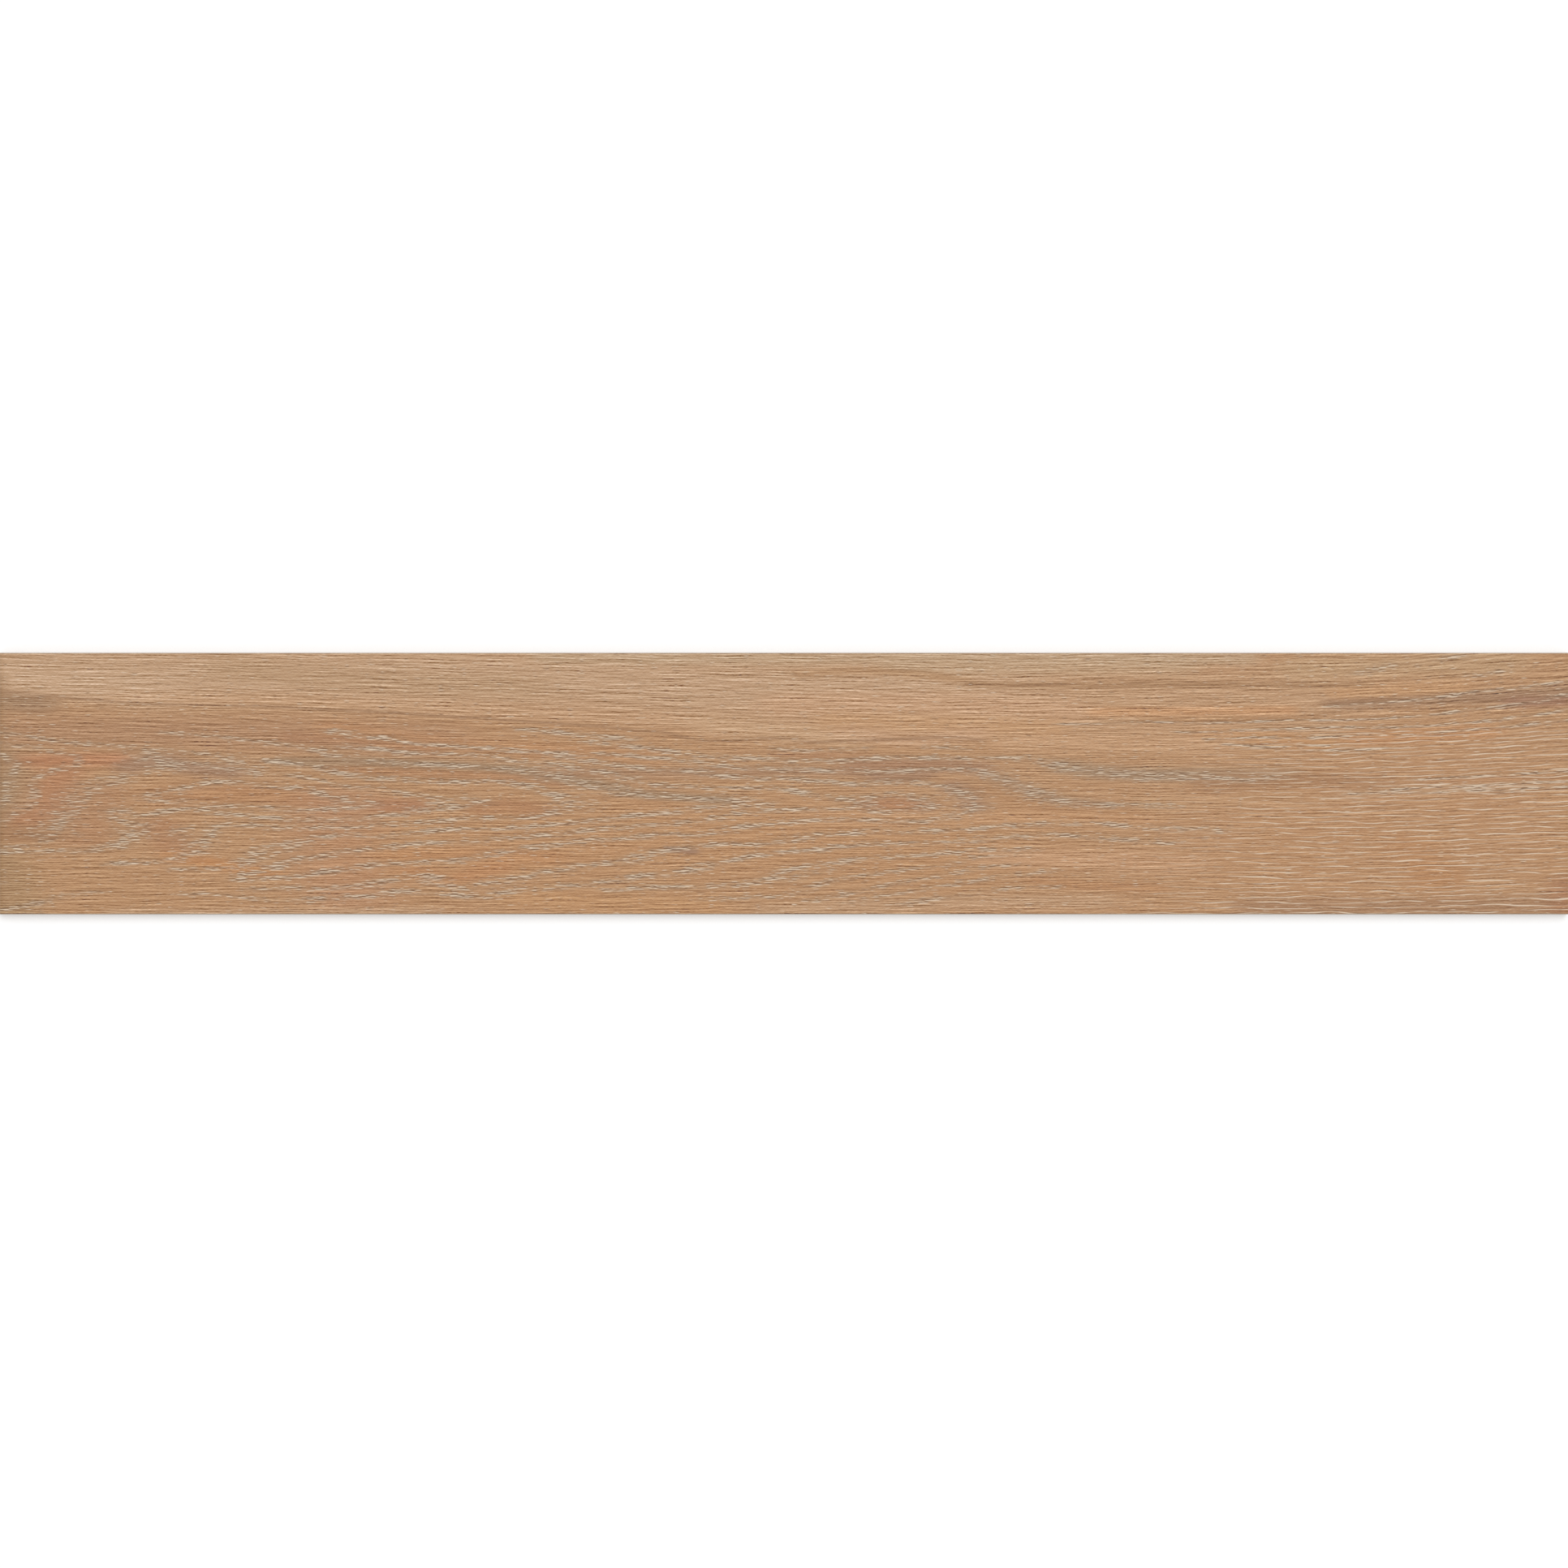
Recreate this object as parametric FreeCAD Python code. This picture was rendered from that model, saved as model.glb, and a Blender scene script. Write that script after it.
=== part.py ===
"""Wood look porcelain plank tile: one piece, dry-pressed, fired and then ground square.

Millimetres, +Z up. The plank lies face up with its length along X. The origin is the
middle of the plane that the crests of its back ribs rest on.
"""

import FreeCAD
import Part

import math
import os

# The plank over all, in the 20 x 120 cm format
LENGTH = 1200.0
WIDTH = 200.0
THICKNESS = 9.5

# The arrises, ground at 45 degrees round the face and round the back
FACE_ARRIS = 0.6
BACK_ARRIS = 0.8

# The keying relief that the punch presses into the back: square pockets between ribs
RIB_PITCH = 20.0
RIB_CREST = 2.5
POCKET_DEPTH = 0.8
POCKET_DRAFT = 30.0  # degrees from the vertical, so that the punch lets go
PLAIN_BORDER = 10.0  # the least flat band between the relief and the ground sides

SAME_HEIGHT = 1e-6


def level_edges(solid, height):
    """The edges of a solid that lie flat at one height."""
    return [
        edge
        for edge in solid.Edges
        if all(abs(corner.Z - height) < SAME_HEIGHT for corner in edge.Vertexes)
    ]


def ground_slab():
    """The plank with its four square sides and the arrises round its face and back."""
    corner = FreeCAD.Vector(-LENGTH / 2, -WIDTH / 2, 0)
    slab = Part.makeBox(LENGTH, WIDTH, THICKNESS, corner)
    slab = slab.makeChamfer(FACE_ARRIS, level_edges(slab, THICKNESS))
    return slab.makeChamfer(BACK_ARRIS, level_edges(slab, 0))


def square_outline(side, height):
    """A square wire about the Z axis."""
    half = side / 2
    corners = [(-half, -half), (half, -half), (half, half), (-half, half), (-half, -half)]
    return Part.makePolygon([FreeCAD.Vector(x, y, height) for x, y in corners])


def key_pocket():
    """What one pyramid of the punch presses out, with the middle of its mouth at the origin."""
    mouth = RIB_PITCH - RIB_CREST
    taper = POCKET_DEPTH * math.tan(math.radians(POCKET_DRAFT))
    outlines = [square_outline(mouth, 0), square_outline(mouth - 2 * taper, POCKET_DEPTH)]
    return Part.makeLoft(outlines, True, True)


def pocket_places(span):
    """The middles of the whole pockets that fit across a span, inside the plain border."""
    count = int((span - 2 * PLAIN_BORDER + RIB_CREST) // RIB_PITCH)
    return [(place - (count - 1) / 2) * RIB_PITCH for place in range(count)]


def key_relief():
    """Every pocket of the back, in rows along the plank."""
    pocket = key_pocket()
    return Part.makeCompound(
        [
            pocket.translated(FreeCAD.Vector(x, y, 0))
            for x in pocket_places(LENGTH)
            for y in pocket_places(WIDTH)
        ]
    )


plank_tile = ground_slab().cut(key_relief())

os.makedirs("parts", exist_ok=True)
plank_tile.exportStep("parts/plank_tile.step")

print(
    f"plank_tile: {len(plank_tile.Solids)} solid, valid {plank_tile.isValid()}, "
    f"{len(plank_tile.Faces)} faces, {plank_tile.Volume / 1000:.1f} cm3"
)
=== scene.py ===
import math

import bmesh
import bpy
import numpy as np
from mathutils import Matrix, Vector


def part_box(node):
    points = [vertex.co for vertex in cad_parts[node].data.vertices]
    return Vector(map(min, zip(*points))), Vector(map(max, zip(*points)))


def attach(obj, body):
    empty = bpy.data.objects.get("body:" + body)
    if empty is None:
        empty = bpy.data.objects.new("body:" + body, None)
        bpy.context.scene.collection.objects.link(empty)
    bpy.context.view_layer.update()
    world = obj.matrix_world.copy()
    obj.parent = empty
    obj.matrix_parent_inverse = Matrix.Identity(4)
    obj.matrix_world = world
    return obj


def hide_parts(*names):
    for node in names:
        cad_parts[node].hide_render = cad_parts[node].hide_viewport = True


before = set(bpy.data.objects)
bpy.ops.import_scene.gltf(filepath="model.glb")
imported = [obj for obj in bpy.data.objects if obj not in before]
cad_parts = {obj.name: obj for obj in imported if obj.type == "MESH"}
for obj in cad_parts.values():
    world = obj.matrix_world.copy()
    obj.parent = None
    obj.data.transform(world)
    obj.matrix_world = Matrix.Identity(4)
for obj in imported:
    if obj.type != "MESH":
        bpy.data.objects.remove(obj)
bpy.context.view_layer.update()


# The pressed back
# Dry stoneware powder is pressed between two punches, fired hard, and ground to size afterwards.
# The lower punch leaves the ribs that key into the adhesive, and they stay bare.

MM = 0.001
HAIR = 0.01 * MM

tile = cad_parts["plank_tile"]
low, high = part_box("plank_tile")

LOOKS_DOWN = -0.25  # the ribs, the pocket walls and the back arris all face at least this far down

back = bmesh.new()
back.from_mesh(tile.data)
bmesh.ops.remove_doubles(back, verts=back.verts, dist=HAIR)
upper_faces = [face for face in back.faces if face.normal.z > LOOKS_DOWN]
bmesh.ops.delete(back, geom=upper_faces, context="FACES")
back.verts.index_update()
back_points = [vertex.co[:] for vertex in back.verts]
back_faces = [[vertex.index for vertex in face.verts] for face in back.faces]
back_rim = [vertex.index for vertex in back.verts if vertex.is_boundary]
back.free()


# The growth rings of the printed oak
# The print shows a flat-sawn oak board, limed so that its open pores hold pale paste. Each spring
# the tree lays a ring of wide pores, and the saw cuts those rings into arches and closed eyes.

# Places are millimetres along the plank from its left end and across it from its rear edge
left_arches = [
    ((0, 78), (8, 81), (13, 87), (10, 93), (6, 98), (6, 106), (4, 113), (0, 118)),
    ((0, 70), (18, 71.5), (35, 75), (50, 78), (60, 81), (60, 85), (46, 88), (35, 92), (28, 97),
     (27, 104), (27, 110), (24, 116), (15, 122), (7, 127), (0, 130)),
    ((30, 137), (38, 130), (46, 123), (51, 117), (54, 112), (60, 107), (70, 102.5), (83, 98),
     (96, 94.5), (109, 91.5), (122, 89), (135, 85.5), (150, 85), (163, 86.5), (178, 89), (208, 92),
     (225, 94), (240, 97), (257, 101), (275, 103), (300, 106), (325, 109.5), (350, 112), (368, 113)),
    ((0, 150), (10, 149), (26, 146.5), (40, 143), (52, 140), (62, 138.5)),
    ((112, 74), (120, 79), (123, 84), (129, 88), (136, 91)),
]
eyes = [
    ((110, 111), (128, 107), (150, 102.5), (168, 98.5), (190, 100), (212, 101.5), (230, 104),
     (245, 107.5), (257, 111), (272, 114), (287, 116), (262, 118.5), (235, 120), (212, 119),
     (195, 117.5), (170, 117), (150, 115), (130, 113), (110, 111)),
    ((326, 119), (333, 114), (345, 112), (368, 113), (352, 117), (336, 120)),
    ((655, 115), (668, 109.5), (685, 108), (698, 110), (708, 114), (711, 118), (700, 121),
     (685, 122), (668, 120.5), (655, 115)),
]
upper_limbs = [
    ((165, 78.5), (180, 81), (195, 82.5), (212, 83), (232, 85.5), (245, 88.5), (258, 91),
     (270, 94), (290, 96), (310, 97), (345, 98.5), (375, 98.5), (392, 99.5), (405, 102), (420, 107),
     (435, 112), (447, 116)),
    ((240, 74), (258, 77.5), (275, 81), (300, 83.5), (330, 85.5), (365, 87), (395, 89), (412, 92),
     (428, 96.5), (445, 101), (465, 104), (480, 107.5), (500, 110), (530, 111), (552, 112),
     (568, 114), (584, 115)),
    ((330, 76), (350, 77.5), (380, 80), (400, 83), (420, 84.5), (432, 86), (445, 89), (460, 91),
     (475, 95), (488, 98), (505, 101), (530, 102.5), (550, 103.5), (575, 103), (595, 103.5),
     (610, 106), (628, 109), (645, 111.5), (655, 115)),
    ((355, 73), (380, 73.5), (405, 75.5), (425, 77), (450, 78), (475, 77.5), (495, 80), (515, 81),
     (535, 84), (560, 87), (585, 88.5), (605, 89), (630, 90), (670, 90.5), (700, 90), (730, 89.5),
     (752, 90.5), (762, 96), (772, 100), (784, 105), (797, 109), (812, 113), (828, 115.5),
     (850, 116.5), (872, 116.5), (895, 117.5)),
    ((470, 70), (500, 74), (528, 77), (555, 80), (585, 81), (610, 83), (640, 82.5), (670, 80.5),
     (700, 80), (730, 80.5), (765, 80.5), (790, 81), (808, 84.5), (820, 89), (840, 91.5), (860, 94),
     (880, 96.5), (905, 96), (930, 96), (950, 97), (975, 95)),
    ((255, 60), (285, 64.5), (305, 66.5), (325, 69.5), (345, 71)),
    ((265, 71), (285, 73), (300, 75), (318, 77)),
    ((455, 68), (470, 70), (490, 73)),
    ((400, 58.5), (420, 60), (440, 62.5), (460, 64), (480, 66)),
]
lower_limbs = [
    ((0, 152), (30, 152), (55, 151.5), (78, 149.5), (95, 146), (101, 140), (102, 134), (107, 128),
     (118, 122.5), (132, 120.5), (148, 120), (165, 122), (190, 125), (212, 126.5), (235, 127.5),
     (262, 127.5), (285, 126), (300, 124), (315, 122), (328, 118.5), (345, 115), (368, 113)),
    ((90, 161), (120, 159), (138, 157), (150, 152), (155, 146), (157, 139), (163, 134), (178, 131),
     (195, 132), (208, 133.5), (235, 133.5), (265, 133), (295, 131.5), (318, 130), (340, 128.5),
     (358, 127), (380, 126.5), (405, 126), (418, 123), (432, 121), (447, 116)),
    ((140, 165), (170, 164.5), (187, 162), (196, 157), (200, 152), (212, 148), (230, 144),
     (245, 141), (265, 139.5), (295, 140), (320, 138), (345, 135), (380, 134.5), (410, 133),
     (430, 130), (450, 128.5), (470, 126.5), (485, 124), (505, 123), (522, 121), (538, 118.5),
     (560, 117), (584, 115)),
    ((185, 170), (205, 167), (214, 163), (220, 160.5), (236, 157), (258, 154), (275, 150.5),
     (293, 149), (310, 146.5), (330, 145.5), (350, 145), (375, 142.5), (405, 140.5), (425, 138.5),
     (445, 136), (465, 134.5), (485, 132.5), (505, 131), (525, 129.5), (545, 127), (560, 123.5),
     (578, 121), (600, 120), (625, 120), (642, 118.5), (655, 115)),
    ((425, 78), (440, 80.5), (455, 83), (470, 85), (490, 88), (515, 90), (538, 91), (555, 94),
     (580, 96), (605, 96), (625, 98), (650, 100), (675, 99.5), (690, 98), (705, 100), (720, 101.5),
     (732, 105), (742, 110), (745, 116), (740, 121), (728, 125.5), (712, 128.5), (690, 129),
     (665, 128), (640, 127.5), (615, 128.5), (598, 130), (578, 131.5), (562, 134), (548, 137),
     (530, 139), (508, 138.5), (490, 141), (470, 142), (450, 143.5), (430, 145.5), (412, 148.5),
     (395, 150.5), (380, 153), (368, 156), (350, 159), (325, 160), (310, 161), (295, 160.5),
     (280, 163), (262, 166), (245, 168), (228, 171), (205, 172), (185, 173)),
    ((198, 180.5), (220, 180), (245, 180), (265, 179), (285, 177), (300, 173), (315, 171.5),
     (328, 170), (336, 173), (348, 177), (358, 178), (375, 176), (395, 173), (410, 170.5),
     (425, 166.5), (440, 163.5), (460, 161.5), (478, 159.5), (490, 155.5), (505, 151.5),
     (525, 148.5), (550, 146.5), (580, 146), (600, 144), (615, 141), (630, 138.5), (650, 138.5),
     (668, 136), (690, 136.5), (715, 136), (740, 134.5), (765, 133), (790, 131), (815, 130),
     (845, 131), (870, 133), (895, 134.5), (930, 136)),
    ((240, 188), (262, 187), (280, 186), (295, 184), (308, 181.5), (320, 183), (340, 183.5),
     (355, 186), (370, 186.5), (385, 183.5), (405, 181), (430, 178.5), (450, 177), (468, 174.5),
     (485, 171), (505, 169.5), (525, 167), (540, 162.5), (555, 159.5), (572, 156.5), (590, 153),
     (610, 151.5), (630, 150), (648, 147.5), (665, 146), (690, 146.5), (715, 145.5), (740, 144),
     (760, 141), (785, 140), (806, 139.5), (840, 141), (870, 143.5), (895, 145)),
    ((470, 181), (490, 179.5), (520, 179), (545, 178.5), (565, 177), (582, 174.5), (597, 170),
     (605, 166.5), (618, 163.5), (632, 161.5), (655, 158), (680, 156.5), (705, 154.5), (728, 152.5),
     (755, 150.5), (785, 150)),
]
faint_lines = [
    ((0, 61), (20, 64), (45, 67.5), (75, 70), (107, 72), (125, 73.5), (145, 76), (165, 78.5)),
    ((130, 61), (170, 64.5), (200, 68), (220, 70.5), (240, 74)),
    ((0, 197), (18, 194), (35, 190), (48, 187), (60, 183), (75, 183)),
    ((140, 184), (165, 185), (185, 187), (212, 189), (235, 190)),
    ((540, 188.5), (575, 187), (598, 186), (610, 183.5), (620, 180), (632, 175.5), (648, 172),
     (665, 169.5), (685, 167), (705, 164), (725, 162), (740, 158), (760, 155.5), (785, 154)),
    ((620, 190), (640, 186), (655, 182.5), (672, 179.5), (690, 175.5), (708, 172.5), (725, 169.5),
     (740, 166.5), (752, 164), (775, 162)),
    ((650, 191), (670, 187), (690, 183.5), (708, 180.5), (725, 178), (742, 175), (758, 172),
     (785, 169), (805, 166)),
    ((690, 192), (715, 188.5), (740, 184.5), (762, 181), (785, 179), (806, 179)),
    ((1040, 16), (1065, 8)),
    ((1100, 5), (1120, 2)),
    ((1125, 18), (1147, 14)),
    ((594, 73.5), (620, 75), (640, 74), (660, 72.5)),
    ((712, 72), (735, 73)),
]
right_lines = [
    ((815, 54.5), (850, 54), (880, 53), (905, 53.5), (930, 53.5), (960, 52.5), (990, 51.5),
     (1010, 51.5), (1040, 51), (1070, 49.5), (1100, 47), (1120, 44), (1140, 42), (1160, 39.5),
     (1170, 38), (1185, 34.5), (1200, 31.5)),
    ((905, 60.5), (930, 60.5), (950, 59), (975, 58.5), (1000, 57.5), (1030, 57), (1060, 57),
     (1090, 56), (1110, 54), (1135, 52.5), (1160, 49), (1185, 46), (1200, 43)),
    ((1020, 41), (1050, 38.5), (1075, 37), (1100, 34), (1120, 31), (1140, 28.5), (1160, 27),
     (1180, 24.5), (1200, 21)),
    ((925, 66), (955, 65), (985, 65), (1010, 64.5), (1040, 63), (1080, 62.5), (1110, 60),
     (1140, 57.5), (1160, 56), (1180, 53), (1200, 51.5)),
    ((1085, 97), (1100, 96), (1120, 95), (1140, 93.5), (1165, 92.5), (1190, 91), (1200, 90.5)),
    ((1035, 108), (1055, 106.5), (1075, 104), (1100, 102), (1130, 102.5), (1150, 100.5),
     (1170, 99.5), (1200, 98.5)),
    ((1060, 107), (1090, 107), (1120, 105.5), (1150, 105), (1170, 103.5), (1200, 102.5)),
    ((940, 70), (970, 72), (1000, 71), (1030, 71)),
    ((1005, 75), (1035, 74.5), (1060, 73)),
]
broad_bands = [
    ((112, 76), (122, 82), (135, 88)),
    ((34, 138), (46, 127), (54, 115), (66, 104), (88, 97)),
    ((90, 122), (104, 130), (104, 142)),
    ((140, 136), (152, 146), (145, 154)),
    ((190, 160), (205, 154), (222, 147)),
    ((180, 82), (190, 87), (200, 92)),
    ((322, 118), (340, 116), (362, 113)),
    ((330, 174), (345, 179), (362, 179), (385, 175)),
    ((400, 89), (425, 95), (450, 101), (475, 106)),
    ((430, 112), (446, 116), (430, 120)),
    ((552, 112), (578, 115), (560, 118)),
    ((600, 172), (612, 167), (625, 164)),
    ((728, 104), (740, 110), (743, 117), (735, 123)),
    ((735, 89), (755, 91), (768, 98), (785, 105), (800, 110), (820, 114)),
    ((795, 83), (820, 88), (850, 91), (880, 93), (915, 94)),
]

COLUMNS = 320  # of the grid that the face is made of, along the plank
ROWS = 280

corners = np.array([vertex.co for vertex in tile.data.vertices])
face_edge = corners[corners[:, 2] > high.z - HAIR].max(axis=0)
face_x = np.linspace(-face_edge[0], face_edge[0], COLUMNS + 1)
face_y = np.linspace(face_edge[1], -face_edge[1], ROWS + 1)
along, across = np.meshgrid((face_x - low.x) / MM, (high.y - face_y) / MM)


def smooth_line(points, spacing):
    """Points at an even spacing on a smooth line through a few points."""
    points = np.array(points, float)
    run = np.concatenate([[0], np.cumsum(np.hypot(*np.diff(points, axis=0).T))])
    slope = np.gradient(points, run, axis=0)
    at = np.linspace(0, run[-1], max(2, int(run[-1] / spacing)))
    span = np.clip(np.searchsorted(run, at, side="right") - 1, 0, len(points) - 2)
    size = (run[span + 1] - run[span])[:, None]
    t = (at - run[span])[:, None] / size
    start = (1 + 2 * t) * (1 - t) ** 2 * points[span] + t * (1 - t) ** 2 * size * slope[span]
    end = t * t * (3 - 2 * t) * points[span + 1] + t * t * (t - 1) * size * slope[span + 1]
    return start + end


def distance_from(points, fibre, limit):
    """How far each place on the face is from a line, counting a step along the fibre as shorter."""
    line = smooth_line(points, spacing=4)
    reach = limit * fibre
    found = np.full(along.shape, limit, float)
    for (u0, v0), (u1, v1) in zip(line, line[1:]):
        first, last = np.searchsorted(along[0], [min(u0, u1) - reach, max(u0, u1) + reach])
        top, bottom = np.searchsorted(across[:, 0], [min(v0, v1) - limit, max(v0, v1) + limit])
        window = np.s_[top:bottom, first:last]
        du, dv = (u1 - u0) / fibre, v1 - v0
        pu, pv = (along[window] - u0) / fibre, across[window] - v0
        t = np.clip((pu * du + pv * dv) / (du * du + dv * dv), 0, 1)
        found[window] = np.minimum(found[window], np.hypot(pu - t * du, pv - t * dv))
    return found


def rise(values, start, end):
    """0 before start and 1 after end, with a smooth change between them."""
    t = np.clip((values - start) / (end - start), 0, 1)
    return t * t * (3 - 2 * t)


def ripple(long_wave, cross_wave, phase):
    """A gentle wave over the face, from -1 to 1. Two waves cross in it, so that it doesn't repeat."""
    turns = along / long_wave + across / cross_wave
    crossing_turns = along / (0.37 * long_wave) - across / (1.7 * cross_wave)
    first = np.sin(2 * math.pi * turns + phase)
    second = np.sin(2 * math.pi * crossing_turns + 2 * phase)
    return 0.6 * first + 0.4 * second


RING_LIMIT = 8.0  # mm across the fibre: no band of pores reaches further from its ring
ring_kinds = [
    # lines, half the band's width in mm, how much further it spreads along the fibre, share limed
    (left_arches, 2.5, 2.4, 0.8),
    (eyes, 2.6, 5.0, 1.0),
    (upper_limbs, 2.4, 5.0, 1.07),
    (lower_limbs, 2.4, 5.5, 1.02),
    (faint_lines, 1.9, 5.0, 0.85),
    (right_lines, 1.1, 8.0, 1.2),
    (broad_bands, 4.8, 4.0, 0.8),
]
ring = np.full(along.shape, math.inf)
lime = np.zeros(along.shape)
for lines, half_band, fibre, share in ring_kinds:
    for points in lines:
        gap = distance_from(points, fibre, RING_LIMIT) / half_band
        nearer = gap < ring
        ring[nearer] = gap[nearer]
        lime[nearer] = share

# How the fibres run: four of them, from the left end to the right end
fibres = [
    ((0, 0), (300, 5), (600, 9), (900, 9), (1050, 6), (1200, -4)),
    ((0, 40), (200, 44), (400, 49), (600, 52), (800, 53), (1000, 51), (1100, 48), (1200, 41)),
    ((0, 96), (300, 98), (600, 100), (900, 101), (1050, 100), (1200, 95)),
    ((0, 192), (400, 192), (700, 190), (900, 190), (1050, 190), (1200, 187)),
]
courses = []
for points in fibres:
    course = smooth_line(points, spacing=5)
    courses.append(np.interp(along[0], course[:, 0], course[:, 1]))
courses = np.array(courses)
starts = courses[:, 0]
fibre_across = np.empty(along.shape)
for column in range(COLUMNS + 1):
    spread = np.interp(across[:, column], courses[:, column], starts)
    beyond_top = across[:, column] < courses[0, column]
    beyond_bottom = across[:, column] > courses[-1, column]
    spread[beyond_top] += (across[:, column] - courses[0, column])[beyond_top]
    spread[beyond_bottom] += (across[:, column] - courses[-1, column])[beyond_bottom]
    fibre_across[:, column] = spread
FIBRE_WAVER = 0.35
fibre_across += FIBRE_WAVER * ripple(long_wave=140, cross_wave=47, phase=0.4)

# Towards the right end the saw met the rings edge on, as straight close lines
LINE_SPACING = 4.1
LINE_WAVER = 0.8
EDGE_ON_LEAN = 0.6  # the lines start further left towards the front edge
line_wave = ripple(long_wave=190, cross_wave=19, phase=2.6) + ripple(long_wave=90, cross_wave=11, phase=0.7)
lines_across = fibre_across + LINE_WAVER * line_wave
edge_on = rise(along + EDGE_ON_LEAN * across, start=930, end=1090) * rise(across, start=52, end=64)


# The tints of the printed oak
# The board's colour drifts from pale straw through tan to a reddish brown, with grey smears where
# the lime was wiped along the rings. Each smear is a line of places, its half width and strength.


def linear(hex_colour):
    """The linear colour of an sRGB hex value."""
    parts = [int(hex_colour[start:start + 2], 16) / 255 for start in (1, 3, 5)]
    return np.array([c / 12.92 if c <= 0.04045 else ((c + 0.055) / 1.055) ** 2.4 for c in parts])


GLAZE_MIRRORS = 0.047  # what a matte glaze adds of a white room


def ink(hex_colour):
    """The ink that shows as a hex colour when the glaze over it adds its own pale sheen."""
    return linear(hex_colour) - GLAZE_MIRRORS


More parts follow.
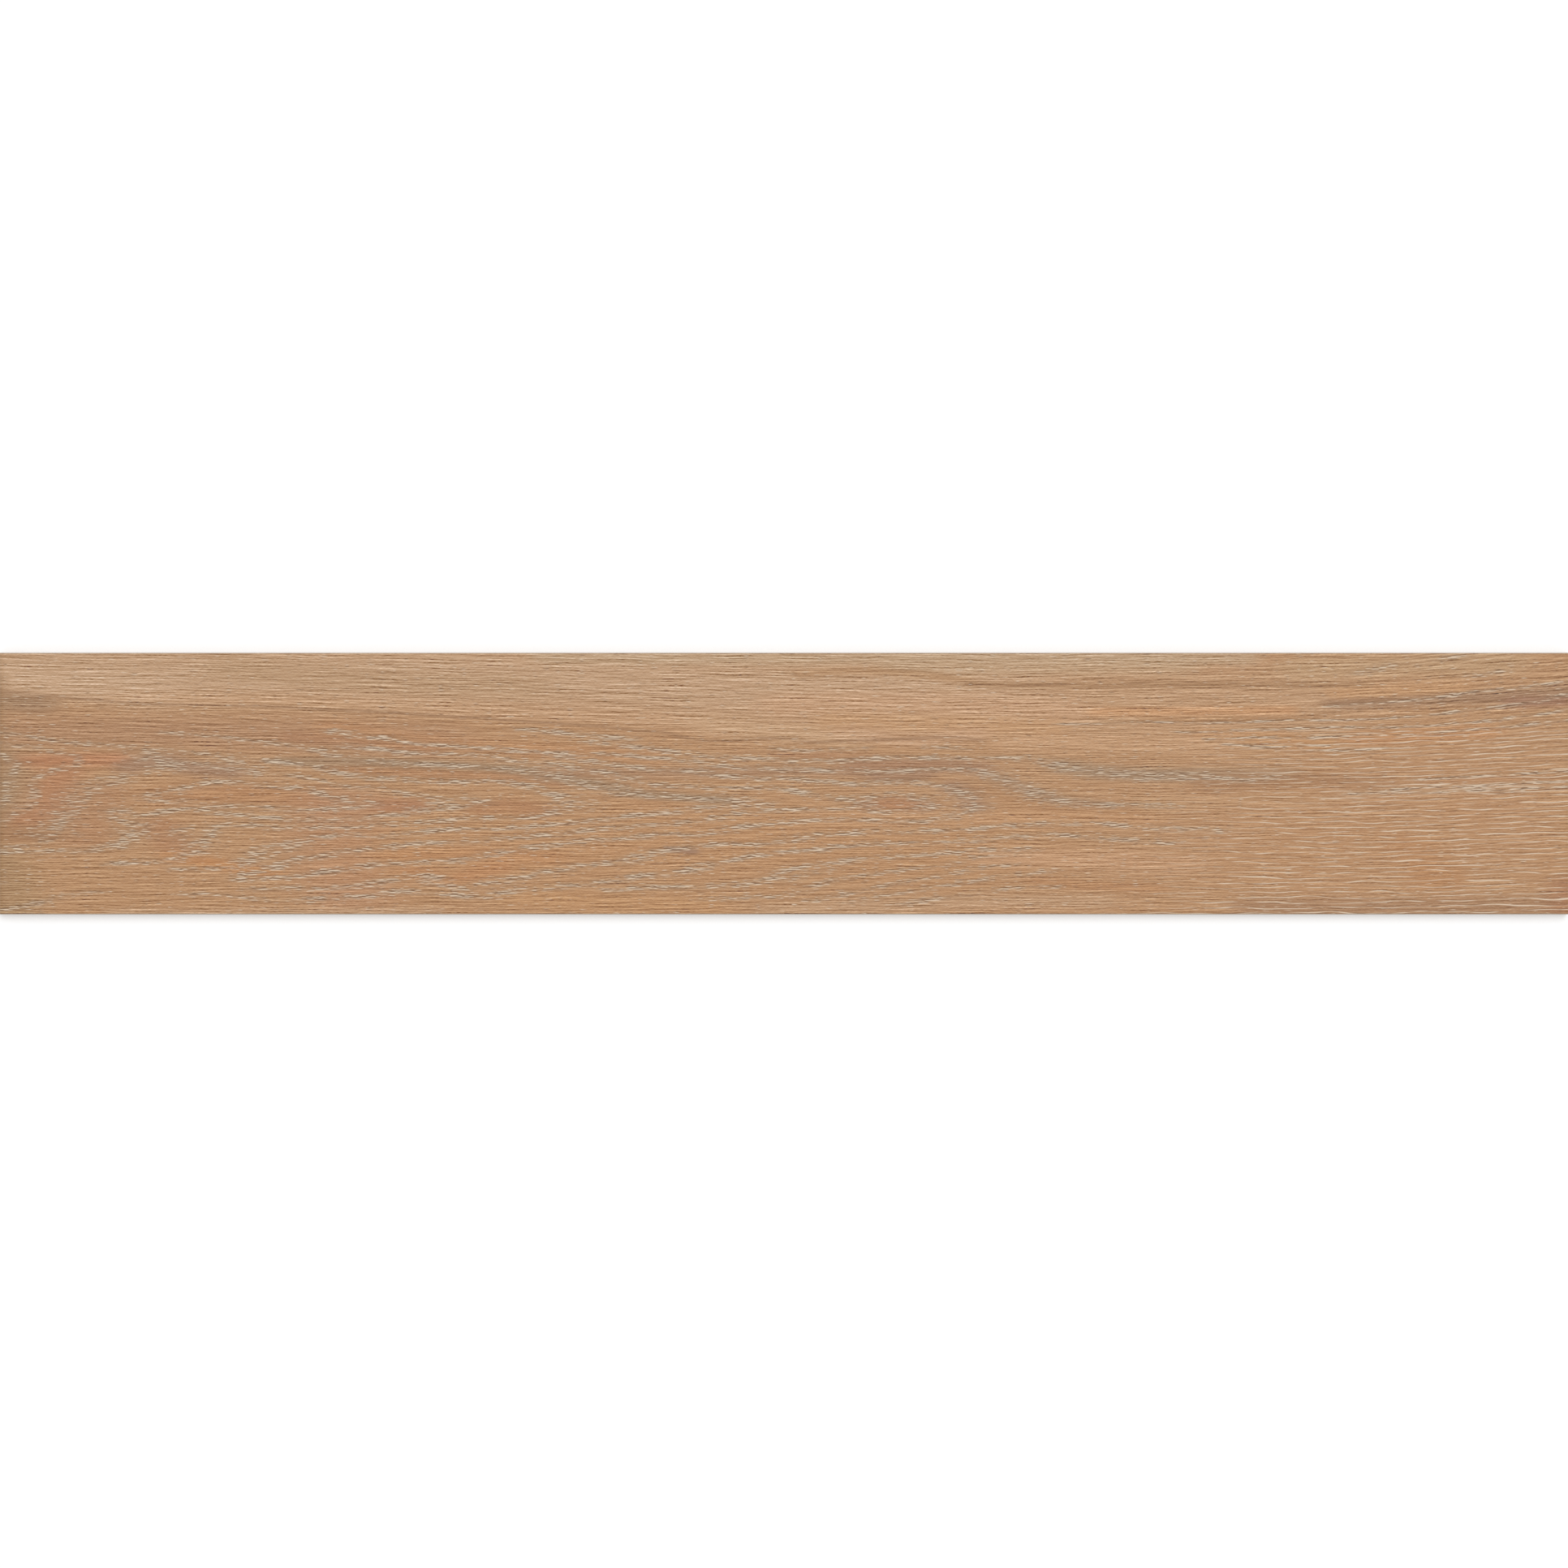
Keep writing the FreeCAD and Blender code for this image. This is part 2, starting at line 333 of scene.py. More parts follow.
TAN = "#B89372"
BARE_WOOD = np.array([0.98, 0.905, 0.80])  # the tints below count the pale paste: bare wood is deeper
smears = [
    # colour, strength, half width in mm, places
    ("#C2A489", 0.9, 26, ((0, 8), (120, 14), (300, 16), (480, 22), (620, 30), (740, 34))),
    ("#C1A184", 0.6, 28, ((780, 34), (880, 38), (980, 36))),
    ("#C0A78C", 0.6, 8, ((690, 10), (800, 10), (900, 9))),
    ("#C8AB91", 0.8, 12, ((0, 18), (60, 23), (115, 31))),
    ("#C6A486", 0.6, 6, ((90, 34), (200, 37), (300, 40), (420, 47), (520, 54), (545, 58))),
    ("#B59779", 0.5, 10, ((180, 12), (260, 20), (400, 26))),
    ("#C0A78D", 0.8, 6, ((420, 3), (600, 4), (720, 3), (830, 3), (950, 4))),
    ("#C6A688", 0.8, 8, ((545, 54), (590, 60), (650, 64))),
    ("#A0846C", 0.8, 8, ((-6, 36), (12, 38), (28, 40))),
    ("#B08C70", 0.8, 15, ((0, 60), (100, 61), (230, 63), (330, 68))),
    ("#B78768", 0.9, 6, ((18, 83), (52, 82), (90, 82))),
    ("#A58670", 0.9, 6, ((100, 87), (122, 82), (145, 87), (175, 91))),
    ("#A68A70", 0.7, 10, ((-4, 80), (6, 100), (0, 122))),
    ("#B48768", 0.9, 8, ((48, 92), (42, 106), (38, 118), (22, 128))),
    ("#A58062", 0.8, 8, ((-4, 138), (14, 138), (34, 139))),
    ("#B0886A", 0.7, 10, ((78, 108), (68, 124), (66, 140))),
    ("#B48A68", 0.8, 9, ((128, 110), (180, 108), (240, 110))),
    ("#B58B72", 0.5, 16, ((262, 118), (258, 150), (268, 182))),
    ("#B18666", 0.8, 7, ((122, 132), (132, 145), (138, 152))),
    ("#BF8F66", 0.9, 5, ((135, 155), (165, 161), (208, 169))),
    ("#AE8565", 0.8, 4, ((250, 87), (320, 92), (390, 95), (430, 100))),
    ("#AB8366", 0.7, 5, ((225, 64), (280, 69), (330, 74))),
    ("#B98D69", 0.6, 7, ((255, 58), (330, 69), (430, 76), (500, 79))),
    ("#BC9069", 0.35, 35, ((300, 152), (450, 142), (600, 142), (720, 150))),
    ("#B08264", 0.9, 6, ((296, 117), (316, 117))),
    ("#AC8060", 0.6, 6, ((370, 119), (390, 117), (412, 121))),
    ("#BB8F6A", 0.8, 6, ((300, 155), (360, 154), (420, 157))),
    ("#BB8D68", 0.8, 6, ((318, 168), (340, 174), (380, 164))),
    ("#A3886F", 0.9, 4, ((215, 83), (290, 84), (350, 86), (400, 90), (430, 96), (465, 102), (480, 106),
                         (520, 110), (555, 113))),
    ("#957867", 0.8, 2.5, ((514, 150), (522, 151), (530, 152))),
    ("#BD9570", 0.8, 8, ((400, 187), (470, 191), (540, 193))),
    ("#A48A6C", 0.6, 12, ((-4, 160), (4, 178), (4, 205))),
    ("#B3906F", 0.8, 3.2, ((612, 16), (660, 14), (705, 17), (740, 21))),
    ("#A98768", 0.9, 2.8, ((745, 24), (800, 25), (880, 24), (960, 24.5), (1045, 25))),
    ("#C6A284", 0.8, 10, ((600, 40), (680, 39), (760, 41), (815, 45))),
    ("#C29C79", 0.8, 8, ((640, 52), (720, 54), (800, 58))),
    ("#C8A589", 0.6, 6, ((650, 61), (700, 66), (745, 62))),
    ("#C69B76", 0.9, 4, ((840, 45), (900, 45), (985, 44))),
    ("#AC8664", 0.65, 3.2, ((878, 52), (915, 51.5), (960, 51), (1005, 50))),
    ("#BE936C", 0.7, 6, ((925, 63), (975, 66), (1015, 71))),
    ("#C09068", 0.7, 6, ((1040, 66), (1090, 63), (1135, 60))),
    ("#C4A080", 0.9, 7, ((775, 68), (860, 69), (935, 71))),
    ("#AE8668", 0.6, 4, ((598, 78), (640, 79), (665, 81))),
    ("#A8866C", 0.7, 5, ((420, 91), (500, 92), (580, 91), (660, 91))),
    ("#A58168", 0.8, 6, ((655, 87), (690, 86), (725, 86), (748, 88))),
    ("#A6846C", 0.8, 5, ((730, 102), (743, 110), (745, 118))),
    ("#9E7E68", 0.7, 5, ((672, 94), (690, 95), (705, 93))),
    ("#A68C76", 0.8, 4, ((765, 97), (785, 105), (812, 113), (845, 117))),
    ("#B28B69", 0.7, 8, ((760, 104), (785, 114), (820, 120), (870, 123))),
    ("#A68B72", 0.9, 6, ((815, 87), (840, 91), (880, 93), (940, 93), (985, 94))),
    ("#A68264", 0.9, 7, ((925, 99), (1000, 98), (1055, 99))),
    ("#B18667", 0.9, 6, ((668, 116), (690, 116), (702, 117))),
    ("#C39D7D", 0.9, 8, ((760, 157), (830, 158), (905, 161))),
    ("#C29A77", 0.6, 6, ((620, 124), (740, 127), (800, 126), (880, 130))),
    ("#B38966", 0.8, 4, ((795, 175), (840, 178), (885, 180))),
    ("#A2836A", 0.9, 6, ((1025, 38), (1060, 37), (1100, 35), (1140, 34), (1205, 29))),
    ("#9E7A66", 0.8, 5, ((1160, 38), (1185, 37), (1205, 36))),
    ("#C29B77", 0.9, 5, ((1025, 31), (1085, 28), (1115, 26))),
    ("#BD9F80", 0.8, 10, ((1000, 12), (1050, 10), (1120, 8), (1150, 7))),
    ("#C2A387", 0.9, 4, ((1030, 109), (1060, 106), (1110, 104), (1160, 103))),
    ("#BF9C7B", 0.8, 5, ((880, 116), (940, 114), (1010, 113))),
    ("#B18A6A", 0.8, 3, ((1090, 98), (1140, 97), (1205, 95))),
    ("#B68A64", 0.7, 10, ((1080, 148), (1096, 172))),
    ("#B78F6D", 0.4, 45, ((990, 140), (1090, 120), (1210, 130))),
    ("#A8866A", 0.9, 9, ((960, 195), (1060, 195), (1190, 193))),
    ("#C2A489", 0.6, 5, ((90, 200), (200, 200), (330, 199))),
    ("#C0A185", 0.6, 6, ((590, 197), (690, 193), (770, 190), (840, 190))),
    ("#A97F62", 0.9, 8, ((1202, 178), (1203, 202))),
    # this one darkens the plank along its left end
    ("#A98A6E", 0.5, 4, ((-2, 20), (-2, 100), (-2, 190))),
]
SMEAR_FIBRE = 2.5  # a smear spreads this much further along the fibre than across it
SMEAR_CORE, SMEAR_REACH = 0.2, 1.5  # in half widths: full up to the first, and gone at the second
board = np.empty(along.shape + (3,))
board[:] = ink(TAN) * BARE_WOOD
for hex_colour, strength, half_width, points in smears:
    gap = distance_from(points, SMEAR_FIBRE, SMEAR_REACH * half_width)
    amount = strength * (1 - rise(gap, SMEAR_CORE * half_width, SMEAR_REACH * half_width))
    board += amount[..., None] * (ink(hex_colour) * BARE_WOOD - board)

# The long dark line at which the pale sapwood side ends
sap_line = ((0, 30), (50, 34), (100, 38.5), (150, 40), (200, 41), (250, 43.5), (300, 45.5), (330, 48),
            (370, 50), (400, 52.5), (450, 55.5), (490, 59.5), (512, 61.5), (526, 65.5), (548, 67),
            (575, 66), (605, 66), (620, 68), (650, 67), (690, 66), (735, 65), (750, 66.5))
SAP_LINE_BROWN = "#97755A"
SAP_LINE_STRENGTH = 0.55
gap = distance_from(sap_line, fibre=3, limit=4)
amount = SAP_LINE_STRENGTH * (1 - rise(gap, start=0.3, end=1.8))
board += amount[..., None] * (ink(SAP_LINE_BROWN) - board)


# The printed face
# A relief roller and an inkjet print give the face the grain of brushed, limed oak under a matte
# glaze. The pores and soft spring wood lie a little lower than the hard summer wood.

RING_SINK = 0.16  # mm below the plane of the face
FIBRE_SINK = 0.10
STRAND_COLUMNS = 8  # a strand changes its depth every 8 columns of the face, which is about 30 mm

draw = np.random.default_rng(20)
strands = draw.random((ROWS + 1, COLUMNS // STRAND_COLUMNS + 2))
strand_at = np.linspace(0, strands.shape[1] - 1, COLUMNS + 1)
strand = np.array([np.interp(strand_at, np.arange(strands.shape[1]), row) for row in strands])
pressed = lime * (1 - rise(ring, start=0.2, end=1.1))
sink = RING_SINK * pressed + FIBRE_SINK * strand
face_z = high.z - sink * MM

face_points = np.stack([*np.meshgrid(face_x, face_y), face_z], axis=-1).reshape(-1, 3)
grid = np.arange(len(face_points)).reshape(ROWS + 1, COLUMNS + 1)
face_faces = np.stack([grid[1:, :-1], grid[1:, 1:], grid[:-1, 1:], grid[:-1, :-1]], axis=-1)
face_faces = face_faces.reshape(-1, 4)
face_loop = np.concatenate([grid[-1, :-1], grid[:0:-1, -1], grid[0, :0:-1], grid[:-1, 0]])

# The ground sides: an arris below the face, and then a flat side down to the back
side_top = corners[corners[:, 0] > high.x - HAIR].max(axis=0)[2]
arris_points = face_points[face_loop].copy()
for axis in (0, 1):
    at_edge = np.abs(arris_points[:, axis]) > face_edge[axis] - HAIR
    arris_points[at_edge, axis] = np.sign(arris_points[at_edge, axis]) * high[axis]
arris_points[:, 2] = side_top

plank_points = np.concatenate([face_points, arris_points, back_points])
arris_loop = len(face_points) + np.arange(len(arris_points))
back_start = len(face_points) + len(arris_points)


def way_round(place):
    """How far a place on the sides is round the plank, from its front left corner."""
    x, y = place[0], place[1]
    if y < low.y + HAIR and x < high.x - HAIR:
        return x - low.x
    if x > high.x - HAIR and y < high.y - HAIR:
        return 2 * high.x + y - low.y
    if y > high.y - HAIR and x > low.x + HAIR:
        return 2 * high.x + 2 * high.y + high.x - x
    return 4 * high.x + 2 * high.y + high.y - y


def closed_strip(upper, lower):
    """Triangles that close the gap between two loops round the sides."""
    upper = sorted(upper, key=lambda index: way_round(plank_points[index]))
    lower = sorted(lower, key=lambda index: way_round(plank_points[index]))
    whole = 4 * (high.x + high.y)
    upper_at = [way_round(plank_points[index]) for index in upper] + [whole]
    lower_at = [way_round(plank_points[index]) for index in lower] + [whole]
    upper.append(upper[0])
    lower.append(lower[0])
    made = []
    i = j = 0
    while i < len(upper) - 1 or j < len(lower) - 1:
        upper_next = upper_at[i] + upper_at[i + 1] if i < len(upper) - 1 else math.inf
        lower_next = lower_at[j] + lower_at[j + 1] if j < len(lower) - 1 else math.inf
        if upper_next <= lower_next:
            made.append([lower[j], upper[i + 1], upper[i]])
            i += 1
        else:
            made.append([lower[j], lower[j + 1], upper[i]])
            j += 1
    return made


arris_faces = np.stack(
    [arris_loop, np.roll(arris_loop, -1), np.roll(face_loop, -1), face_loop], axis=-1
)
side_faces = closed_strip(arris_loop.tolist(), [back_start + index for index in back_rim])
back_faces = [[back_start + index for index in face] for face in back_faces]
faces = face_faces.tolist() + arris_faces.tolist() + side_faces + back_faces

mesh = bpy.data.meshes.new("oak_print_plank")
mesh.from_pydata(plank_points.tolist(), [], faces)
printed = np.arange(len(faces)) < len(face_faces)
mesh.polygons.foreach_set("use_smooth", printed)
mesh.polygons.foreach_set("material_index", np.where(printed, 0, 1).astype(np.int32))


def keep(name, kind, part, values):
    """Stores a value for each point of the face on the mesh, for its material to read."""
    size = values.shape[-1] if values.ndim == 3 else 1
    whole = np.zeros((len(plank_points), size), np.float32)
    whole[: len(face_points)] = values.reshape(len(face_points), size)
    mesh.attributes.new(name, kind, "POINT").data.foreach_set(part, whole.ravel())


keep("grain", "FLOAT_VECTOR", "vector", np.stack([along, fibre_across, lines_across], axis=-1))
keep("ring", "FLOAT", "value", ring)
keep("lime", "FLOAT", "value", lime)
keep("edge_on", "FLOAT", "value", edge_on)
keep("board", "FLOAT_COLOR", "color", np.concatenate([board, np.ones(along.shape + (1,))], axis=-1))

# A flat layout for the baked maps: the face takes most of it, then the back, the sides and the ends
MAP_MARGIN = 0.004
MAP_LENGTH = 1 - 2 * MAP_MARGIN
FACE_START, FACE_WIDTH = 0.40, 0.596
BACK_START, BACK_WIDTH = 0.08, 0.31
REAR_START, FRONT_START, SIDE_WIDTH = 0.055, 0.03, 0.016
RIGHT_END_START, END_LENGTH = 0.5, 0.3

loop_count = len(mesh.loops)
loop_point = np.empty(loop_count, np.int32)
mesh.loops.foreach_get("vertex_index", loop_point)
face_normal = np.empty(len(faces) * 3, np.float32)
mesh.polygons.foreach_get("normal", face_normal)
face_normal = face_normal.reshape(-1, 3)
face_size = np.empty(len(faces), np.int32)
mesh.polygons.foreach_get("loop_total", face_size)
normal = np.repeat(face_normal, face_size, axis=0)
on_face = np.repeat(printed, face_size)
place = plank_points[loop_point]
share_x = (place[:, 0] - low.x) / (high.x - low.x)
share_y = (place[:, 1] - low.y) / (high.y - low.y)
share_z = (place[:, 2] - low.z) / (high.z - low.z)
looks_down = normal[:, 2] < LOOKS_DOWN
is_end = np.abs(normal[:, 0]) > np.abs(normal[:, 1])
flat = np.empty((loop_count, 2))
flat[:, 0] = MAP_MARGIN + MAP_LENGTH * share_x
flat[:, 1] = np.select(
    [on_face, looks_down, is_end, normal[:, 1] < 0],
    [
        FACE_START + FACE_WIDTH * share_y,
        BACK_START + BACK_WIDTH * share_y,
        MAP_MARGIN + SIDE_WIDTH * share_z,
        FRONT_START + SIDE_WIDTH * share_z,
    ],
    REAR_START + SIDE_WIDTH * share_z,
)
ends = is_end & ~looks_down & ~on_face
end_start = np.where(normal[ends, 0] < 0, MAP_MARGIN, RIGHT_END_START)
flat[ends, 0] = end_start + END_LENGTH * share_y[ends]
mesh.uv_layers.new(name="OFBake").data.foreach_set("uv", flat.ravel().astype(np.float32))

plank = bpy.data.objects.new("oak_print_plank", mesh)
bpy.context.scene.collection.objects.link(plank)

MIX_A, MIX_B, MIX_COLOUR = 6, 7, 2  # the colour sockets of a Mix node
NOISE_LOW, NOISE_HIGH = 0.35, 0.65  # most of what a noise gives lies between these


def add(tree, kind, inputs, **settings):
    """Adds a node with its settings. Each input is a value or another node's output."""
    made = tree.nodes.new("ShaderNode" + kind)
    for name, value in settings.items():
        setattr(made, name, value)
    for socket, source in inputs.items():
        if isinstance(source, bpy.types.NodeSocket):
            tree.links.new(source, made.inputs[socket])
        else:
            made.inputs[socket].default_value = source
    return made


def streaks(tree, grain, long, wide, gap):
    """Streaks along the fibre: above 0 a light one and, a gap further across, below 0 its dark one."""
    heights = []
    scale = (1 / long, 1 / wide, 0.0)
    for shift in (0.0, gap):
        at = add(tree, "VectorMath", {0: grain, 1: (0.0, shift, 0.0)}, operation="ADD")
        at = add(tree, "VectorMath", {0: at.outputs[0], 1: scale}, operation="MULTIPLY")
        noise = add(
            tree, "TexNoise",
            {"Vector": at.outputs[0], "Scale": 1.0, "Detail": 0.0},
            noise_dimensions="2D",
        )
        heights.append(noise.outputs["Fac"])
    return add(tree, "Math", {0: heights[0], 1: heights[1]}, operation="SUBTRACT").outputs[0]


def patches(tree, grain, long, wide, least, most):
    """A share that drifts between its least and its most, in patches of a length and a width in mm."""
    at = add(tree, "VectorMath", {0: grain, 1: (1 / long, 1 / wide, 0.0)}, operation="MULTIPLY")
    noise = add(
        tree, "TexNoise",
        {"Vector": at.outputs[0], "Scale": 1.0, "Detail": 1.0},
        noise_dimensions="2D",
    )
    share = add(
        tree, "MapRange",
        {"Value": noise.outputs["Fac"], "From Min": NOISE_LOW, "From Max": NOISE_HIGH,
         "To Min": least, "To Max": most},
    )
    return share.outputs["Result"]


SHORT_PORES = 0.3  # the weight of short pores beside the long ones
BAND_EDGE, BAND_CORE = 1.4, 0.3  # where a ring's pores begin and where they are full, in half bands
CROWDING = 0.52  # how far a full band lifts its pores towards showing
PORE_BEGINS, PORE_FULL = 0.44, 0.76
LINE_EDGE, LINE_CORE = 0.48, 0.05  # mm from the middle of a straight line
EDGE_ON_CALM = -0.2  # the fibres are weaker between the straight lines
DRY_GLAZE, DRY_PASTE = 0.52, 0.78  # their roughness
GLASS_IOR = 1.5


def printed_glaze():
    """Matte glaze over an inkjet print of limed oak: dry to the eye, with pale paste in the pores."""
    material = bpy.data.materials.new("printed_matte_glaze")
    material.use_nodes = True
    tree = material.node_tree
    surface = tree.nodes["Principled BSDF"]
    grain = add(tree, "Attribute", {}, attribute_name="grain").outputs["Vector"]
    board_colour = add(tree, "Attribute", {}, attribute_name="board").outputs["Color"]
    ring_gap = add(tree, "Attribute", {}, attribute_name="ring").outputs["Fac"]
    paste = add(tree, "Attribute", {}, attribute_name="lime").outputs["Fac"]
    sawn_edge_on = add(tree, "Attribute", {}, attribute_name="edge_on").outputs["Fac"]

    # Straight fibres about 2 mm apart, broken into flecks, and broader faint streaks
    fibre = streaks(tree, grain, long=45, wide=0.75, gap=1.08)
    flecks = patches(tree, grain, long=4, wide=0.9, least=0.45, most=1.5)
    fibre = add(tree, "Math", {0: fibre, 1: flecks}, operation="MULTIPLY").outputs[0]
    for long, wide, gap, weight in (
        (12, 0.72, 1.03, 0.45),
        (2.5, 0.75, 1.0, 0.2),
        (1.0, 0.6, 0.85, 0.2),
        (18, 1.8, 2.4, 0.15),
        (60, 2.6, 3.5, 0.2),
    ):
        more = streaks(tree, grain, long, wide, gap)
        fibre = add(tree, "Math", {0: more, 1: weight, 2: fibre}, operation="MULTIPLY_ADD").outputs[0]

    # Where a ring passes, the pores stand in rows of dashes, each pale one with a dark dash beside it that
    # is a painted shadow
    pores = streaks(tree, grain, long=9, wide=0.66, gap=0.95)
    short = streaks(tree, grain, long=3.0, wide=0.62, gap=0.9)
    pores = add(tree, "Math", {0: short, 1: SHORT_PORES, 2: pores}, operation="MULTIPLY_ADD").outputs[0]
    in_band = add(tree, "MapRange", {"Value": ring_gap, "From Min": BAND_EDGE, "From Max": BAND_CORE})
    band = add(tree, "Math", {0: in_band.outputs["Result"], 1: paste}, operation="MULTIPLY")
    patchy = patches(tree, grain, long=20, wide=4, least=0.45, most=1.1)
    band = add(tree, "Math", {0: band.outputs[0], 1: patchy}, operation="MULTIPLY").outputs[0]
    stray = patches(tree, grain, long=40, wide=9, least=0.0, most=0.2)
    crowd = add(tree, "Math", {0: band, 1: stray}, operation="MAXIMUM").outputs[0]

    # Towards the right end the saw met the rings edge on, as thin straight lines close together
    line_places = add(tree, "SeparateXYZ", {"Vector": grain}).outputs["Z"]
    unbroken = patches(tree, grain, long=22, wide=1.6, least=0.0, most=1.1)
    line_share = add(tree, "Math", {0: unbroken, 1: sawn_edge_on}, operation="MULTIPLY").outputs[0]

    # First the pale marks, and then the painted shadows: dark dashes beside the pale pores, and dark lines
    # 0.8 mm beside each straight line
    pale_marks_and_shadows = []
    for sign, shift, line_depth in ((1, 0.0, 1.5), (-1, 0.8, 0.4)):
        dash = add(tree, "Math", {0: pores, 1: sign}, operation="MULTIPLY")
        dash = add(tree, "Math", {0: crowd, 1: CROWDING, 2: dash.outputs[0]}, operation="MULTIPLY_ADD")
        dash = add(
            tree, "MapRange",
            {"Value": dash.outputs[0], "From Min": PORE_BEGINS, "From Max": PORE_FULL},
        )
        beside = add(tree, "Math", {0: line_places, 1: shift}, operation="ADD")
        beside = add(tree, "Math", {0: beside.outputs[0], 1: LINE_SPACING / 2}, operation="PINGPONG")
        line = add(
            tree, "MapRange",
            {"Value": beside.outputs[0], "From Min": LINE_EDGE, "From Max": LINE_CORE,
             "To Max": line_depth},
        )
        line = add(tree, "Math", {0: line.outputs["Result"], 1: line_share}, operation="MULTIPLY")
        mark_and_shadow = add(tree, "Math", {0: dash.outputs["Result"], 1: line.outputs[0]}, operation="MAXIMUM")
        pale_marks_and_shadows.append(mark_and_shadow.outputs[0])
    pale_dash, painted_shadow_dash = pale_marks_and_shadows

    # Dark fibres are redder and light ones creamier, so blue swings furthest and red least
    calm = add(tree, "Math", {0: sawn_edge_on, 1: EDGE_ON_CALM, 2: 1.0}, operation="MULTIPLY_ADD")
    fibre = add(tree, "Math", {0: fibre, 1: calm.outputs[0]}, operation="MULTIPLY").outputs[0]
    swing = (1.0, 1.0, 1.0)
    for side, depth in (("MAXIMUM", (0.72, 1.05, 1.58)), ("MINIMUM", (0.79, 0.98, 1.3))):
        part = add(tree, "Math", {0: fibre, 1: 0.0}, operation=side).outputs[0]
        swing = add(tree, "VectorMath", {0: depth, 1: part, 2: swing}, operation="MULTIPLY_ADD").outputs[0]
    fibred = add(tree, "VectorMath", {0: board_colour, 1: swing}, operation="MULTIPLY")
    colour = fibred.outputs[0]
    for amount, share, hex_colour in (
        (band, 0.4, "#A58C73"),
        # painted shadow beside each pale pore and straight line
        (painted_shadow_dash, 0.68, "#6A5140"),
        (pale_dash, 0.84, "#E4D0B9"),
    ):
        share_of_it = add(tree, "Math", {0: amount, 1: share}, operation="MULTIPLY")
        mixed = add(
            tree, "Mix",
            {"Factor": share_of_it.outputs[0], MIX_A: colour, MIX_B: [*ink(hex_colour), 1]},
            data_type="RGBA",
        )
        colour = mixed.outputs[MIX_COLOUR]
    tree.links.new(colour, surface.inputs["Base Color"])

    rough = add(tree, "MapRange", {"Value": pale_dash, "To Min": DRY_GLAZE, "To Max": DRY_PASTE})
    tree.links.new(rough.outputs["Result"], surface.inputs["Roughness"])
    hollow = add(tree, "Math", {0: fibre, 1: pale_dash}, operation="SUBTRACT")
    bump = add(tree, "Bump", {"Height": hollow.outputs[0], "Strength": 0.25, "Distance": 0.2 * MM})
    tree.links.new(bump.outputs["Normal"], surface.inputs["Normal"])
    surface.inputs["IOR"].default_value = GLASS_IOR
    return material


GRIT = 1.1 * MM  # coarser than the real powder, so that it shows
WASH_TOP, WASH_FULL = 0.12 * MM, 0.02 * MM  # how high on a rib the kiln wash reaches
WASH_STRENGTH = 0.7


def fired_body():
    """Unglazed porcelain stoneware: a fine, dry, speckled beige, with white kiln wash on the ribs."""
    material = bpy.data.materials.new("fired_porcelain_body")
    material.use_nodes = True
    tree = material.node_tree
    surface = tree.nodes["Principled BSDF"]
    place = add(tree, "TexCoord", {}).outputs["Object"]
    grit = add(tree, "TexNoise", {"Vector": place, "Scale": 1 / GRIT, "Detail": 3.0, "Roughness": 0.65})
    speck = add(
        tree, "MapRange",
        {"Value": grit.outputs["Fac"], "From Min": NOISE_LOW, "From Max": NOISE_HIGH},
    ).outputs["Result"]
    body = add(
        tree, "Mix",
        {"Factor": speck, MIX_A: [*linear("#A08A74"), 1], MIX_B: [*linear("#B5A08A"), 1]},
        data_type="RGBA",
    )
    height = add(tree, "SeparateXYZ", {"Vector": place}).outputs["Z"]
    crest = add(
        tree, "MapRange",
        {"Value": height, "From Min": WASH_TOP, "From Max": WASH_FULL, "To Max": WASH_STRENGTH},
    )
    worn = add(tree, "Math", {0: crest.outputs["Result"], 1: speck}, operation="MULTIPLY")
    washed = add(
        tree, "Mix",
        {"Factor": worn.outputs[0], MIX_A: body.outputs[MIX_COLOUR], MIX_B: [*linear("#D8D2C8"), 1]},
        data_type="RGBA",
    )
    tree.links.new(washed.outputs[MIX_COLOUR], surface.inputs["Base Color"])
    bump = add(tree, "Bump", {"Height": grit.outputs["Fac"], "Strength": 0.4, "Distance": 0.1 * MM})
    tree.links.new(bump.outputs["Normal"], surface.inputs["Normal"])
    surface.inputs["Roughness"].default_value = 0.8
    surface.inputs["IOR"].default_value = GLASS_IOR
    return material


plank.data.materials.append(printed_glaze())
plank.data.materials.append(fired_body())
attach(plank, "root")
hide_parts("plank_tile")


# The studio
# A white floor, soft light from all round with a broad lamp over the rear left, and a camera
# straight above with a long lens, so that the plank's length fills the frame.

HALF_FLOOR = 15.0  # in metres, far beyond the frame
floor_mesh = bpy.data.meshes.new("floor")
floor_corners = [(x * HALF_FLOOR, y * HALF_FLOOR, 0) for x, y in ((-1, -1), (1, -1), (1, 1), (-1, 1))]
floor_mesh.from_pydata(floor_corners, [], [(0, 1, 2, 3)])
floor = bpy.data.objects.new("floor", floor_mesh)
floor.location.z = low.z - HAIR
bpy.context.scene.collection.objects.link(floor)


def seen_by_eye(tree):
    """1 where the eye sees this straight, in a mirror or through glass, and 0 where it only gives light."""
    path = add(tree, "LightPath", {})
    seen = path.outputs["Is Camera Ray"]
    for way in ("Is Glossy Ray", "Is Transmission Ray"):
        seen = add(tree, "Math", {0: seen, 1: path.outputs[way]}, operation="MAXIMUM").outputs[0]
    return seen


FLOOR_PAPER = "#EAEAEA"
FLOOR_LIFT = 0.24  # brings the floor that the eye sees up to white, and keeps the shadow on it
ROOM_LIGHT = 0.62
WHITE = [*linear("#FFFFFF"), 1]

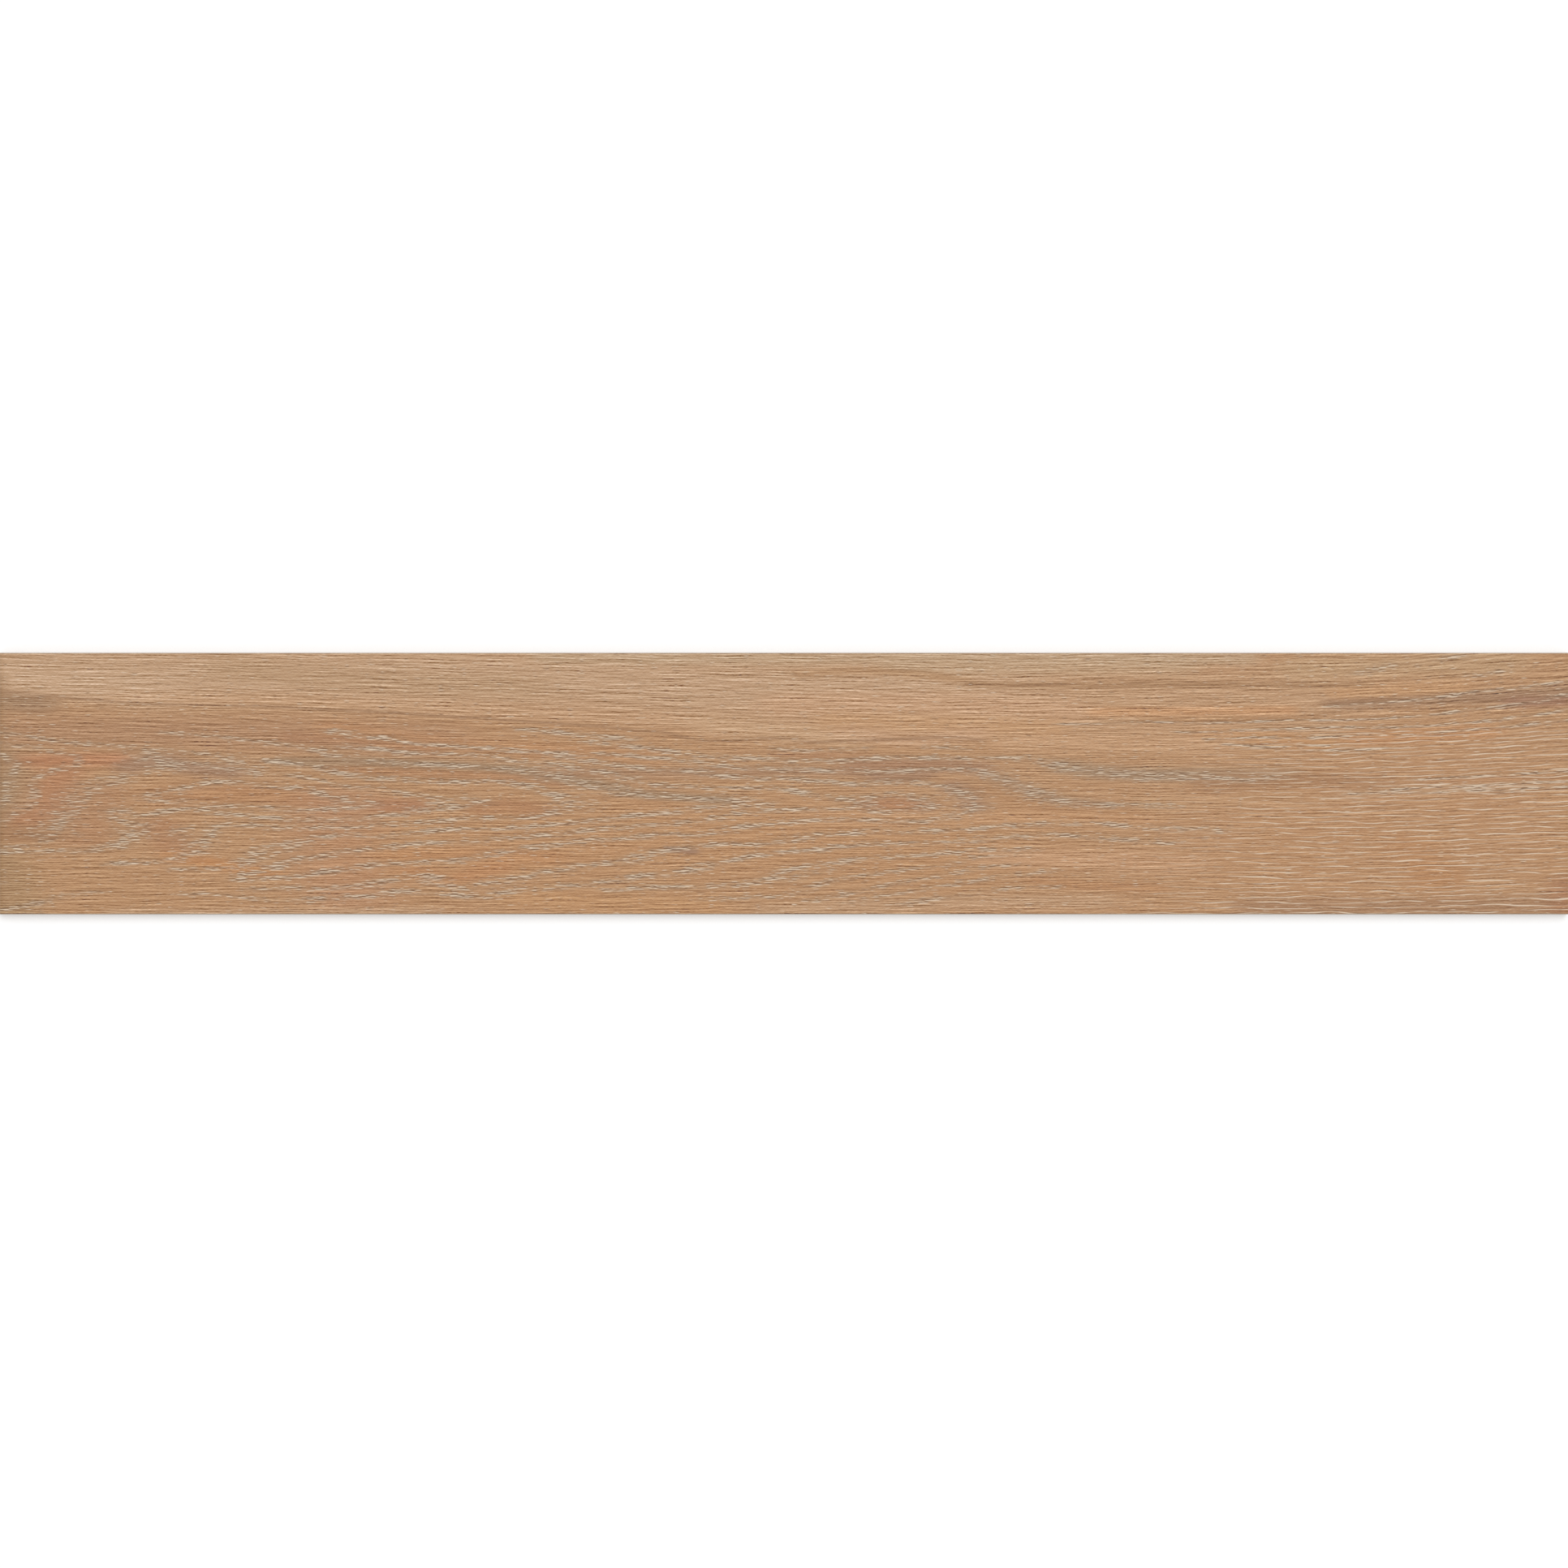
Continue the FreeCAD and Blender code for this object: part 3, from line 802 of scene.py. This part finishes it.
white_floor = bpy.data.materials.new("white_floor")
white_floor.use_nodes = True
tree = white_floor.node_tree
tree.nodes.clear()
paper = add(tree, "BsdfDiffuse", {"Color": [*linear(FLOOR_PAPER), 1]})
lift = add(tree, "Math", {0: seen_by_eye(tree), 1: FLOOR_LIFT}, operation="MULTIPLY")
glow = add(tree, "Emission", {"Color": WHITE, "Strength": lift.outputs[0]})
both = add(tree, "AddShader", {0: paper.outputs[0], 1: glow.outputs[0]})
add(tree, "OutputMaterial", {"Surface": both.outputs[0]})
floor_mesh.materials.append(white_floor)

world = bpy.data.worlds.new("soft_room")
bpy.context.scene.world = world
world.use_nodes = True
tree = world.node_tree
tree.nodes.clear()
room = add(tree, "Background", {"Color": WHITE, "Strength": ROOM_LIGHT})
backdrop = add(tree, "Background", {"Color": WHITE, "Strength": 1.0})
shown = add(tree, "MixShader", {0: seen_by_eye(tree), 1: room.outputs[0], 2: backdrop.outputs[0]})
add(tree, "OutputWorld", {"Surface": shown.outputs[0]})

LAMP_TILT = math.radians(22)
LAMP_TURN = math.radians(-35)
LAMP_SPREAD = math.radians(50)
lamp = bpy.data.objects.new("soft_lamp", bpy.data.lights.new("soft_lamp", "SUN"))
lamp.data.energy = (1 - ROOM_LIGHT) * math.pi / math.cos(LAMP_TILT)
lamp.data.angle = LAMP_SPREAD
lamp.rotation_euler = (-LAMP_TILT, 0, LAMP_TURN)
bpy.context.scene.collection.objects.link(lamp)

LENS = 120
SENSOR = 36
PHOTO_SIDE = 1932
PLANK_MIDDLE_ROW = 965.5  # the plank's middle in the photo, in pixels from the top
camera = bpy.data.objects.new("camera", bpy.data.cameras.new("camera"))
camera.data.lens = LENS
camera.data.sensor_width = SENSOR
shown_width = 2 * face_edge[0]
pixel = shown_width / PHOTO_SIDE
off_centre = (PLANK_MIDDLE_ROW - PHOTO_SIDE / 2) * pixel
camera.location = (0, off_centre, high.z + shown_width * LENS / SENSOR)
bpy.context.scene.collection.objects.link(camera)
bpy.context.scene.camera = camera
bpy.context.scene.view_settings.view_transform = "Standard"
